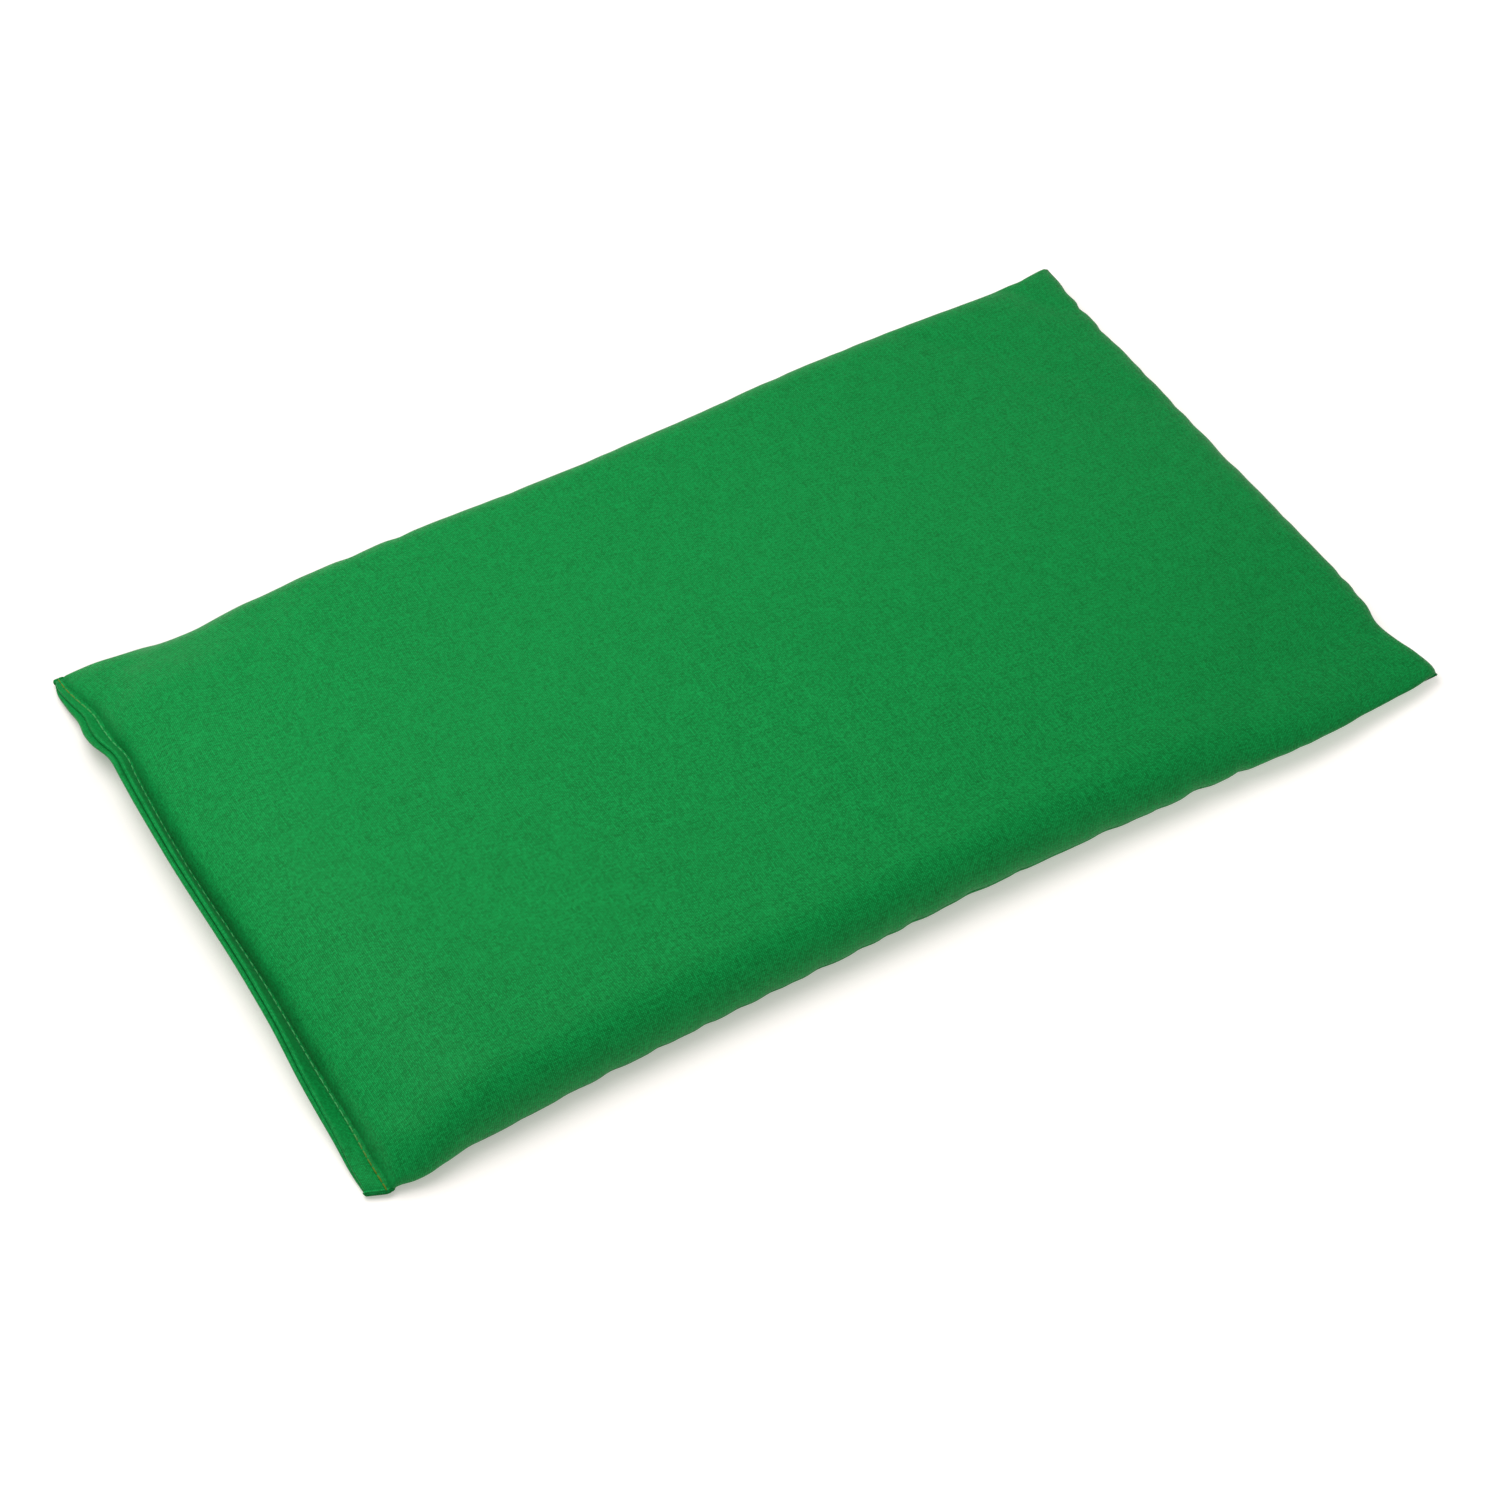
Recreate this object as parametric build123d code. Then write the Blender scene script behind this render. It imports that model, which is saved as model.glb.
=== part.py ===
from build123d import *

import os

# A flat rectangular eye pillow: two panels of plain-weave cotton sewn together round a loose seed fill.
# The front, back and end edges are plain seams, sewn inside out and turned, so their stitches are hidden.
# The fourth edge closes the bag: both plies are folded in and topstitched together, which leaves a flat
# four-layer flange.
# Frame: X runs along the pillow from the closing edge (-X) to the end seam (+X), Y across it from the
# front seam to the back seam, Z up. The origin is under the middle, on the surface that it lies on.

# Driving dimensions, millimetres
bag_length = 250.0            # outermost fold of the closing edge to the end seam
bag_width = 147.0             # front seam to back seam
bag_height = 17.0             # surface below to the top of the crown
seam_height = 6.5             # plane where the two panels meet
cloth_thickness = 0.4
top_rim_radius = 9.5          # rounding from the top down to the seam
bottom_rim_radius = 5.8       # rounding from the resting face up to the seam

seam_allowance = 8.0          # cloth turned inside the bag along each plain seam
plain_seam_inset = 1.2        # knife edge to the hidden stitch line
flange_width = 4.7            # upper fold of the closing edge to its topstitching
flange_to_body = 1.3          # topstitching to the wall of the filled bag
hem_depth = 12.0              # cloth folded back inside each ply of the closing edge
fold_stagger = 1.0            # how far the lower fold stands out past the upper one
fold_gap = 0.1                # air between the layers of one folded ply

stitch_pitch = 2.05
thread_size = 0.28            # width and height of a thread
needle_hole = 0.36            # side of the square gap that a needle leaves in the weave
stitch_dip = 0.12             # how deep a thread dips where it dives into the cloth
fill_clearance = 0.05         # cloth to seeds
thread_clearance = 0.25       # buried thread to seeds

# Worked out from those
end_x = bag_length / 2
half_width = bag_width / 2
lower_fold_x = -bag_length / 2
upper_fold_x = lower_fold_x + fold_stagger
closing_seam_x = upper_fold_x + flange_width
body_x = closing_seam_x + flange_to_body
hem_end_x = upper_fold_x + hem_depth
top_depth = bag_height - seam_height
bottom_depth = seam_height
folded_ply = 2 * cloth_thickness + fold_gap
side_seam_start_x = hem_end_x + 1.0
side_seam_y = half_width - plain_seam_inset
end_seam_x = end_x - plain_seam_inset


def block(x_range, y_range, z_range):
    """A box given by its lowest and highest coordinate along each axis."""
    centre = [(low + high) / 2 for low, high in (x_range, y_range, z_range)]
    sides = [high - low for low, high in (x_range, y_range, z_range)]
    return Pos(*centre) * Box(*sides)


def crowned_block(depth, rim_radius, inset):
    """Half of the filled bag, seam plane down at Z = 0, with its upper rim rounded."""
    solid = block(
        (body_x + inset, end_x - inset),
        (-half_width + inset, half_width - inset),
        (0, depth - inset),
    )
    rim = solid.faces().sort_by(Axis.Z)[-1].edges()
    return fillet(rim, rim_radius - inset)


def plain_seam_allowance():
    """The cloth turned inside along the front, back and end edges, as one U-shaped layer."""
    layer = block(
        (side_seam_start_x, end_x),
        (-half_width, half_width),
        (0, cloth_thickness),
    )
    opening = block(
        (side_seam_start_x - 1, end_x - seam_allowance),
        (-half_width + seam_allowance, half_width - seam_allowance),
        (-1, 1),
    )
    return layer - opening


def closing_flange(fold_x):
    """One ply of the closing edge: out from the wall, round the fold, and back inside the bag."""
    inner_z = cloth_thickness / 2
    outer_z = folded_ply - cloth_thickness / 2
    bend_radius = (outer_z - inner_z) / 2
    bend_x = fold_x + folded_ply / 2
    outer_run = Line((body_x + cloth_thickness, outer_z), (bend_x, outer_z))
    bend = ThreePointArc(
        (bend_x, outer_z),
        (bend_x - bend_radius, (inner_z + outer_z) / 2),
        (bend_x, inner_z),
    )
    inner_run = Line((bend_x, inner_z), (hem_end_x, inner_z))
    ribbon = trace(outer_run + bend + inner_run, cloth_thickness)
    section = Plane.XZ * ribbon
    return extrude(section, half_width, both=True)


def stitch_holes():
    """Every needle hole, as posts that pass through all the layers."""
    post = Box(needle_hole, needle_hole, 4 * folded_ply)
    places = []
    for y in (-side_seam_y, side_seam_y):
        places += [(x, y) for x in stitch_positions(side_seam_start_x, end_seam_x)]
    end_reach = side_seam_y - stitch_pitch
    places += [(end_seam_x, y) for y in stitch_positions(-end_reach, end_reach)]
    closing_reach = half_width - plain_seam_inset
    places += [(closing_seam_x, y) for y in stitch_positions(-closing_reach, closing_reach)]
    return [Pos(x, y, 0) * post for x, y in places]


def stitch_positions(start, end):
    """Needle holes along one seam, a whole number of stitches centred between its ends."""
    count = int((end - start) / stitch_pitch)
    first = (start + end - count * stitch_pitch) / 2
    return [first + index * stitch_pitch for index in range(count + 1)]


def panel(depth, rim_radius, fold_x):
    """One cotton panel, crown up, with its seam plane at Z = 0."""
    crown = crowned_block(depth, rim_radius, 0) - crowned_block(depth, rim_radius, cloth_thickness)
    hem_slot = block(
        (body_x - 1, body_x + 2 * cloth_thickness),
        (-half_width - 1, half_width + 1),
        (-1, folded_ply - cloth_thickness),
    )
    cloth = crown - hem_slot + closing_flange(fold_x) + plain_seam_allowance()
    return cloth - stitch_holes()


def top_panel():
    return Pos(0, 0, seam_height) * panel(top_depth, top_rim_radius, upper_fold_x)


def bottom_panel():
    turned_over = mirror(panel(bottom_depth, bottom_rim_radius, lower_fold_x), about=Plane.XY)
    return Pos(0, 0, seam_height) * turned_over


def sewing_thread(start, end, layer_height):
    """One thread of a lockstitch run along X, lying on a layer and diving to the seam plane at each hole."""
    holes = stitch_positions(start, end)
    half_leg = thread_size / 2
    crest = layer_height + thread_size
    outline = []
    for x in holes:
        outline.append((x - half_leg, crest))
        outline.append((x, crest - stitch_dip))
        outline.append((x + half_leg, crest))
    for x in reversed(holes):
        outline.append((x + half_leg, layer_height))
        outline.append((x + half_leg, 0))
        outline.append((x - half_leg, 0))
        outline.append((x - half_leg, layer_height))
    section = Plane.XZ * make_face(Polyline(*outline, close=True))
    return extrude(section, thread_size / 2, both=True)


def seam_pair(place, start, end, layer_height):
    """The needle thread above the seam plane and the bobbin thread below it."""
    needle = sewing_thread(start, end, layer_height)
    bobbin = mirror(needle, about=Plane.XY)
    return place * needle, place * bobbin


def seam_threads():
    """All four seams, by name."""
    end_reach = side_seam_y - stitch_pitch
    closing_reach = half_width - plain_seam_inset
    front_place = Pos(0, -side_seam_y, seam_height)
    back_place = Pos(0, side_seam_y, seam_height)
    end_place = Pos(end_seam_x, 0, seam_height) * Rot(0, 0, 90)
    closing_place = Pos(closing_seam_x, 0, seam_height) * Rot(0, 0, 90)
    return {
        "front_seam": seam_pair(front_place, side_seam_start_x, end_seam_x, cloth_thickness),
        "back_seam": seam_pair(back_place, side_seam_start_x, end_seam_x, cloth_thickness),
        "end_seam": seam_pair(end_place, -end_reach, end_reach, cloth_thickness),
        "closing_seam": seam_pair(closing_place, -closing_reach, closing_reach, folded_ply),
    }


def seed_fill():
    """The loose seeds as one body that fills the bag and clears the cloth turned inside the seams."""
    inset = cloth_thickness + fill_clearance
    upper = crowned_block(top_depth, top_rim_radius, inset)
    lower = mirror(crowned_block(bottom_depth, bottom_rim_radius, inset), about=Plane.XY)
    groove_height = cloth_thickness + thread_size + thread_clearance
    core = block(
        (hem_end_x + fill_clearance, end_x - seam_allowance - fill_clearance),
        (-half_width + seam_allowance + fill_clearance, half_width - seam_allowance - fill_clearance),
        (-groove_height, groove_height),
    )
    seam_layer = block(
        (body_x - 1, end_x + 1),
        (-half_width - 1, half_width + 1),
        (-groove_height, groove_height),
    )
    return Pos(0, 0, seam_height) * (upper + lower - seam_layer + core)


def save(name, shape):
    export_step(shape, f"parts/{name}.step")
    print(name, "solids", len(shape.solids()), "volume", round(shape.volume, 1))


os.makedirs("parts", exist_ok=True)
save("top_panel", top_panel())
save("bottom_panel", bottom_panel())
save("seed_fill", seed_fill())
for seam, (needle, bobbin) in seam_threads().items():
    save(f"{seam}_needle_thread", needle)
    save(f"{seam}_bobbin_thread", bobbin)
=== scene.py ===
import math

import bpy
import numpy as np
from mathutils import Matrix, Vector


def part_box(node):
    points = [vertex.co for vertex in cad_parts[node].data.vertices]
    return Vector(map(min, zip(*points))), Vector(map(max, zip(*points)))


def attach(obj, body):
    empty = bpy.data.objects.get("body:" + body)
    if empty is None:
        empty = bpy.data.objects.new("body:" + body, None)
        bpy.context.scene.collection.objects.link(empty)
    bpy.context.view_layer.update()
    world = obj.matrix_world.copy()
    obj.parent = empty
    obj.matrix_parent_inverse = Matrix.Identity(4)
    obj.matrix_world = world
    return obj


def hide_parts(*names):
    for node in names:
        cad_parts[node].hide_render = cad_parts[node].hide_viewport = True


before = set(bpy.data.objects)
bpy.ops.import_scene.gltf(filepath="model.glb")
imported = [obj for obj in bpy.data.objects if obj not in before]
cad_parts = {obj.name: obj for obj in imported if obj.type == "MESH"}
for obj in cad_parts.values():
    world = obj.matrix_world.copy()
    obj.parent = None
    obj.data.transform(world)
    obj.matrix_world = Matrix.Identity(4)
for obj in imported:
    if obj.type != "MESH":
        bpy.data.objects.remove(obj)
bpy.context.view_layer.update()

# An eye pillow that lies flat: two cotton panels round a seed fill. Three edges are plain turned seams. The
# fourth, at -X, is folded in and topstitched, which leaves a flange that curls up. Lengths are in metres,
# unless a comment says otherwise.

MM = 0.001

# Places taken from the frame
TOP_LOW, TOP_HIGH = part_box("top_panel")
_, BOTTOM_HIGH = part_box("bottom_panel")
CLOSING_LOW, CLOSING_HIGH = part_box("closing_seam_needle_thread")
STITCH_X = (CLOSING_LOW.x + CLOSING_HIGH.x) / 2
END_X = TOP_HIGH.x
HALF_WIDTH = TOP_HIGH.y
STITCH_INSET = 0.9 * MM       # topstitching to the wall of the filled bag
HINGE_X = STITCH_X + STITCH_INSET
FLANGE_WIDTH = HINGE_X - TOP_LOW.x
BODY_LENGTH = END_X - HINGE_X
BODY_WIDTH = 2 * HALF_WIDTH
BODY_CENTRE_X = (END_X + HINGE_X) / 2
SEAM_Z = BOTTOM_HIGH.z

# The cloth and its sewing
CLOTH = 0.35 * MM
ALLOWANCE = 8 * MM
STITCH_PITCH = 2.05 * MM
THREAD_RADIUS = 0.16 * MM
HIDDEN_THREAD_RADIUS = 0.12 * MM
THREAD_SINK = 0.9             # height of a thread's middle above the cloth, as a share of its radius
STITCH_DIVE = 0.4 * MM        # how deep the topstitching goes into the cloth at each needle hole
STITCH_FULLNESS = 0.4         # under 1 makes each stitch a flat-topped arch
PLAIN_SEAM_INSET = 1.2 * MM
THREADS_ALONG_X = 2600        # cotton threads a metre, counted along X
THREADS_ALONG_Y = 3300

# Heights of the cloth's outer face above the seam plane
HINGE_HEIGHT = 0.85 * MM      # where the flange meets the wall of the bag
STITCHED_HEIGHT = 0.72 * MM   # at the topstitching, where the thread presses it down
PUFFED_HEIGHT = 0.98 * MM     # between the topstitching and the fold
INNER_PLY_HEIGHT = 0.03 * MM

# The rounding from each seam up to the crown: its radius, the angle of the wall at the seam in degrees, the
# share of the height that it covers, and how far the gentle shoulder beyond it reaches. A negative angle
# makes the wall bulge out over the seam. The underside has no shoulder.
TOP_RIMS = {
    "front": (9.0 * MM, -30, 0.78, 40 * MM),
    "back": (6.0 * MM, -10, 0.72, 24 * MM),
    "closing": (2.7 * MM, -5, 0.38, 28 * MM),
    "end": (5.0 * MM, -10, 0.42, 42 * MM),
}
BOTTOM_RIMS = {
    "front": (5.0 * MM, 0, 1, 1),
    "back": (6.0 * MM, -5, 1, 1),
    "closing": (5.5 * MM, -5, 1, 1),
    "end": (6.0 * MM, -5, 1, 1),
}
TOP_RISE = 12 * MM            # usual height of the crown above the seams
BOTTOM_DROP = 4.5 * MM
CROWN = 16.4 * MM             # greatest height of the upper face
BACK_FALL = 0.34              # how much lower the crown is at the back, where there are fewer seeds
BACK_FALL_START = 0.4         # where that begins, as a share of the way from front to back
END_FALL = 0.3                # the same towards the end
END_FALL_START = 0.5
BULGE_CLEARANCE = 14 * MM     # the bulging front wall straightens out over this distance from both its ends

# The cloth simulation is run ten times larger, which suits the solver
SIM_SCALE = 10
SIM_CELL = 2.5 * MM
SIM_FRAMES = 40
SIM_EASE = 1.035              # the flat panels are cut this much larger than the filled bag
SIM_VOLUME = 0.68             # cubic metres at that scale, which is litres at true size
SIM_LIFT = 3 * MM             # the flat panels start this far apart, except near the seams
SIM_LIFT_REACH = 6 * MM
SEAM_GATHER = 0.03            # how much the seams draw the cloth in
WRINKLE_REACH = 11 * MM       # wrinkles broader than about four times this are left to the designed crown
WRINKLE_GAIN = 0.32           # how much of the simulated wrinkles is kept, on the upper panel and the lower
LOWER_WRINKLE_GAIN = 0.2
WRINKLE_CLEARANCE = 5 * MM    # wrinkles fade out over this distance from every seam
LEAST_HEIGHT = 0.1 * MM       # the underside stays this much above the table

# The panels' grid lines are this far apart at the seams, and further in
FINE_CELL = 0.35 * MM
COARSE_CELL = 1.15 * MM
ARC_POINTS = 120
SHOULDER_POINTS = 60


# ---------------------------------------------------------------- curves and grids

def smooth_curve(points, places):
    """A smooth line through a few listed (place, value) points, read at the given places."""
    knots = np.array([p[0] for p in points])
    values = np.array([p[1] for p in points])
    slopes = np.gradient(values, knots)
    index = np.clip(np.searchsorted(knots, places, side="right") - 1, 0, len(knots) - 2)
    gap = knots[index + 1] - knots[index]
    u = (places - knots[index]) / gap
    return (
        values[index] * (1 + 2 * u) * (1 - u) ** 2
        + values[index + 1] * u * u * (3 - 2 * u)
        + slopes[index] * gap * u * (1 - u) ** 2
        - slopes[index + 1] * gap * u * u * (1 - u)
    )


def spline_weights(count, places):
    """Weights that read a cubic B-spline of count even points at places from 0 to 1."""
    weights = np.zeros((len(places), count))
    for row, place in enumerate(places):
        position = place * (count - 1)
        first = min(int(position), count - 2)
        f = position - first
        basis = (
            (1 - f) ** 3 / 6,
            (3 * f ** 3 - 6 * f ** 2 + 4) / 6,
            (-3 * f ** 3 + 3 * f ** 2 + 3 * f + 1) / 6,
            f ** 3 / 6,
        )
        for offset, value in enumerate(basis):
            point = first - 1 + offset
            if point < 0:
                weights[row, 0] += 2 * value
                weights[row, 1] -= value
            elif point >= count:
                weights[row, count - 1] += 2 * value
                weights[row, count - 2] -= value
            else:
                weights[row, point] += value
    return weights


def graded_lines(length, first_step, main_step, growth=1.25):
    """Grid lines over a length that crowd towards both of its ends, in metres."""
    edge = [0.0]
    step = first_step
    while step < main_step:
        edge.append(edge[-1] + step)
        step *= growth
    start = edge.pop()
    middle = np.linspace(start, length - start, int((length - 2 * start) / main_step) + 1)
    edge = np.array(edge)
    return np.concatenate([edge, middle, length - edge[::-1]])


def fade(distance, reach):
    """1 at zero distance, falling smoothly to 0 at reach."""
    u = np.clip(distance / reach, 0, 1)
    return (1 - u) ** 2 * (1 + 2 * u)


def smoothed(grid, sigma):
    """A height grid blurred over sigma cells in both directions."""
    reach = int(3 * sigma) + 1
    kernel = np.exp(-0.5 * (np.arange(-reach, reach + 1) / sigma) ** 2)
    kernel /= kernel.sum()
    for _ in range(2):
        padded = np.pad(grid, ((reach, reach), (0, 0)), mode="reflect", reflect_type="odd")
        grid = sum(weight * padded[k:k + grid.shape[0]] for k, weight in enumerate(kernel)).T
    return grid


def fall(distance, reach):
    """1 at zero distance, falling in a straight line to 0 at reach."""
    return 1 - np.clip(distance / reach, 0, 1)


def path_lengths(path):
    """The distance along a list of points to each of them."""
    return np.concatenate([[0], np.cumsum(np.linalg.norm(np.diff(path, axis=0), axis=1))])


def grid_faces(ids):
    """Four-cornered faces over a grid of point numbers, facing up where it runs along +X and +Y."""
    return np.stack([ids[:-1, :-1], ids[1:, :-1], ids[1:, 1:], ids[:-1, 1:]], -1).reshape(-1, 4)


def square_mesh(name, reach):
    """A flat square at table height that reaches equally far each way."""
    mesh = bpy.data.meshes.new(name)
    corners = [(-reach, -reach, 0), (reach, -reach, 0), (reach, reach, 0), (-reach, reach, 0)]
    mesh.from_pydata(corners, [], [(0, 1, 2, 3)])
    return mesh


def add_object(name, data):
    """Puts a mesh, a light or a camera into the scene."""
    thing = bpy.data.objects.new(name, data)
    bpy.context.collection.objects.link(thing)
    return thing


# ---------------------------------------------------------------- filling the bag by cloth simulation

def flat_bag():
    """The two cut panels before filling, as points, faces and each panel's grid of point numbers."""
    length = BODY_LENGTH * SIM_EASE
    width = BODY_WIDTH * SIM_EASE
    columns = round(length / SIM_CELL)
    rows = round(width / SIM_CELL)
    x, y = np.meshgrid(
        np.linspace(-length / 2, length / 2, columns + 1),
        np.linspace(-width / 2, width / 2, rows + 1),
        indexing="ij",
    )
    rim = np.minimum(length / 2 - abs(x), width / 2 - abs(y))
    lift = SIM_LIFT * np.clip(rim / SIM_LIFT_REACH, 0, 1)
    top_points = np.stack([x, y, SEAM_Z + lift], -1)
    bottom_points = np.stack([x, y, SEAM_Z - lift], -1)
    inner = np.zeros(x.shape, bool)
    inner[1:-1, 1:-1] = True
    top_ids = np.arange(x.size).reshape(x.shape)
    bottom_ids = top_ids.copy()
    bottom_ids[inner] = x.size + np.arange(inner.sum())
    points = np.concatenate([top_points.reshape(-1, 3), bottom_points[inner]])
    faces = []
    for i in range(columns):
        for j in range(rows):
            faces.append((top_ids[i, j], top_ids[i + 1, j], top_ids[i + 1, j + 1], top_ids[i, j + 1]))
            faces.append(
                (bottom_ids[i, j], bottom_ids[i, j + 1], bottom_ids[i + 1, j + 1], bottom_ids[i + 1, j])
            )
    return points, np.array(faces).tolist(), top_ids, bottom_ids


def add_table():
    """A plate for the bag to lie on while it is filled."""
    table = add_object("fill_table", square_mesh("fill_table", 3))
    table.modifiers.new("Collision", "COLLISION")
    table.collision.thickness_outer = 0.005
    table.collision.cloth_friction = 5
    return table


def add_cloth(bag, gathered):
    """Cotton that holds a heavy fill: a set volume, and a pressure that grows with depth."""
    group = bag.vertex_groups.new(name="gather")
    for point, weight in gathered.items():
        group.add([point], weight, "REPLACE")
    cloth = bag.modifiers.new("Cloth", "CLOTH")
    cloth.point_cache.frame_end = SIM_FRAMES
    settings = cloth.settings
    settings.quality = 6
    settings.mass = 0.1
    settings.tension_stiffness = 40
    settings.compression_stiffness = 40
    settings.shear_stiffness = 10
    settings.bending_stiffness = 0.05
    settings.tension_damping = 10
    settings.compression_damping = 10
    settings.shear_damping = 10
    settings.bending_damping = 0.5
    settings.air_damping = 2
    settings.use_pressure = True
    settings.uniform_pressure_force = 0
    settings.use_pressure_volume = True
    settings.target_volume = SIM_VOLUME
    settings.pressure_factor = 10
    settings.fluid_density = 2
    settings.vertex_group_shrink = "gather"
    settings.shrink_min = 0
    settings.shrink_max = SEAM_GATHER
    cloth.collision_settings.collision_quality = 3
    cloth.collision_settings.distance_min = 0.004


def seam_weights(ids):
    """How strongly each point near a seam is gathered."""
    weights = {}
    for depth, weight in ((1, 0.5), (0, 1.0)):
        ring = np.concatenate([ids[depth], ids[-1 - depth], ids[:, depth], ids[:, -1 - depth]])
        weights.update({int(point): weight for point in ring})
    return weights


def filled_bag():
    """Fills the flat bag on the table and returns the settled grids of its two panels."""
    points, faces, top_ids, bottom_ids = flat_bag()
    mesh = bpy.data.meshes.new("filling_bag")
    mesh.from_pydata((points * SIM_SCALE).tolist(), [], faces)
    bag = add_object("filling_bag", mesh)
    table = add_table()
    add_cloth(bag, seam_weights(bottom_ids) | seam_weights(top_ids))
    scene = bpy.context.scene
    for step in range(1, SIM_FRAMES + 1):
        scene.frame_set(step)
    settled = bag.evaluated_get(bpy.context.evaluated_depsgraph_get()).to_mesh()
    places = np.empty(len(settled.vertices) * 3)
    settled.vertices.foreach_get("co", places)
    places = places.reshape(-1, 3) / SIM_SCALE
    places[:, 0] += BODY_CENTRE_X
    places[:, 2] -= places[:, 2].min()
    for helper in (bag, table):
        bpy.data.objects.remove(helper)
    scene.frame_set(1)
    return places[top_ids], places[bottom_ids]


# ---------------------------------------------------------------- the outline of the seams

# Each seam's place, as (fraction of the way along it, millimetres out from the straight line between the
# corners) and (fraction, millimetres above the table). Front and back run from the closing edge to the end,
# and closing and end run from the front to the back.
SEAM_OUT = {
    "front": [
        (0, 2.8), (0.03, 2.7), (0.06, 1.7), (0.1, 1.1), (0.2, 0.1), (0.4, -0.4), (0.6, -0.9),
        (0.8, 0.5), (0.85, 1.1), (0.89, 0.7), (0.93, -0.1), (0.96, -0.8), (1, -1.3),
    ],
    "back": [
        (0, 0.5), (0.05, -0.2), (0.1, -3.2), (0.16, -3.0), (0.3, -3.0), (0.45, -3.9),
        (0.56, -3.4), (0.65, -2.2), (0.73, -1.2), (0.82, -0.9), (0.94, -0.7), (1, 0.9),
    ],
    "closing": [
        (0, 2.0), (0.04, 2.2), (0.1, 2.1), (0.2, 2.5), (0.35, 2.6), (0.6, 3.7), (0.71, 3.3), (0.76, 2.9),
        (0.8, 2.3), (0.84, 3.0), (0.87, 3.1), (0.9, 3.0), (0.945, 4.2), (0.975, 4.9), (1, 5.0),
    ],
    "end": [
        (0, 2.5), (0.007, 2.9), (0.022, 2.9), (0.05, 1.9), (0.1, -0.6),
        (0.15, 0.1), (0.3, -0.2), (0.7, -0.6), (0.9, -0.2), (1, 0.9),
    ],
}
SEAM_HEIGHT = {
    "front": [
        (0, 1.3), (0.06, 1.3), (0.15, 1.6), (0.35, 2.2), (0.55, 3.0), (0.7, 2.6), (0.9, 3.2), (1, 2.2),
    ],
    "back": [(0, 1.4), (0.06, 1.7), (0.15, 3.0), (0.3, 4.5), (0.5, 5.0), (0.85, 4.8), (1, 4.0)],
    "closing": [(0, 1.3), (0.1, 1.8), (0.3, 3.6), (0.6, 4.4), (0.8, 4.2), (0.92, 2.4), (1, 1.4)],
    "end": [(0, 2.2), (0.1, 4.0), (0.5, 5.0), (0.9, 4.6), (1, 4.0)],
}

# Small puckers where the sewing draws a seam up: usual spacing and depth, and how far in they reach
PUCKER_SPACING = 6.5 * MM
PUCKER_DEPTH = 0.32 * MM
PUCKER_REACH = 7 * MM
WALL_REACH = 2 * MM           # at the closing edge they start this far up, clear of the topstitching

# The crown comes down to each corner over these distances: the closing edge's front and back corner, then
# the end's. The stretch is how much shorter each taper is across the pillow than along it.
CORNER_TAPER = (20 * MM, 72 * MM, 75 * MM, 30 * MM)
CORNER_STRETCH = (1.2, 2.4, 1.0, 1.0)
CORNER_DROP = 0.8             # share of its height that the crown loses there
ROUNDED_CORNER = 1.8 * MM     # how far the end's back corner is drawn in, and from how far along its edges
ROUNDED_REACH = 6.5 * MM


def seam_line(name, kind, places):
    """Metres out from the straight edge, or above the table, at fractions of the way along a seam."""
    table = SEAM_OUT if kind == "out" else SEAM_HEIGHT
    return smooth_curve(table[name], np.clip(places, 0, 1)) * MM


def pucker_list(seed, length):
    """Places, depths and widths of the puckers along one seam."""
    rng = np.random.default_rng(seed)
    count = int(length / PUCKER_SPACING)
    places = (np.arange(count) + rng.uniform(0.15, 0.85, count)) * length / count
    depths = PUCKER_DEPTH * rng.gamma(2.0, 0.5, count)
    widths = rng.uniform(1.1, 2.4, count) * MM
    return list(zip(places, depths, widths))


PUCKERS = {
    "front": pucker_list(11, BODY_LENGTH),
    "back": pucker_list(12, BODY_LENGTH),
    "closing": pucker_list(13, BODY_WIDTH),
    "end": pucker_list(14, BODY_WIDTH),
}
# Two deeper ones beside the end's back corner
PUCKERS["end"] += [(121.5 * MM, 0.7 * MM, 1.5 * MM), (130.5 * MM, 0.8 * MM, 1.4 * MM)]


def puckers(name, places, distance):
    """How far the cloth is drawn in by a seam's puckers, at places along it and distances from it."""
    drawn = 0 * places * distance
    for place, depth, width in PUCKERS[name]:
        spread = width * (1 + distance / PUCKER_REACH)
        across = np.exp(-(((places - place) / spread) ** 2))
        drawn = drawn + depth * across * np.exp(-distance / PUCKER_REACH)
    return drawn


def rim_profile(rim, rise):
    """The rounding at one seam, as cloth distances, horizontal distances in, and shares of the rise."""
    radius, start, part, shoulder = rim
    angles = np.radians(np.linspace(start, 90, ARC_POINTS))
    inward = radius * (math.cos(angles[0]) - np.cos(angles))
    share = part * (np.sin(angles) - math.sin(angles[0])) / (1 - math.sin(angles[0]))
    if part < 1:
        beyond = np.linspace(inward[-1], shoulder, SHOULDER_POINTS)[1:]
        inward = np.concatenate([inward, beyond])
        share = np.concatenate([share, np.full(len(beyond), part)])
        share = share + (1 - part) * (1 - (1 - np.clip(inward, 0, shoulder) / shoulder) ** 2)
    steps = np.hypot(np.diff(inward), np.diff(share) * rise)
    return np.concatenate([[0], np.cumsum(steps)]), inward, share


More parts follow.
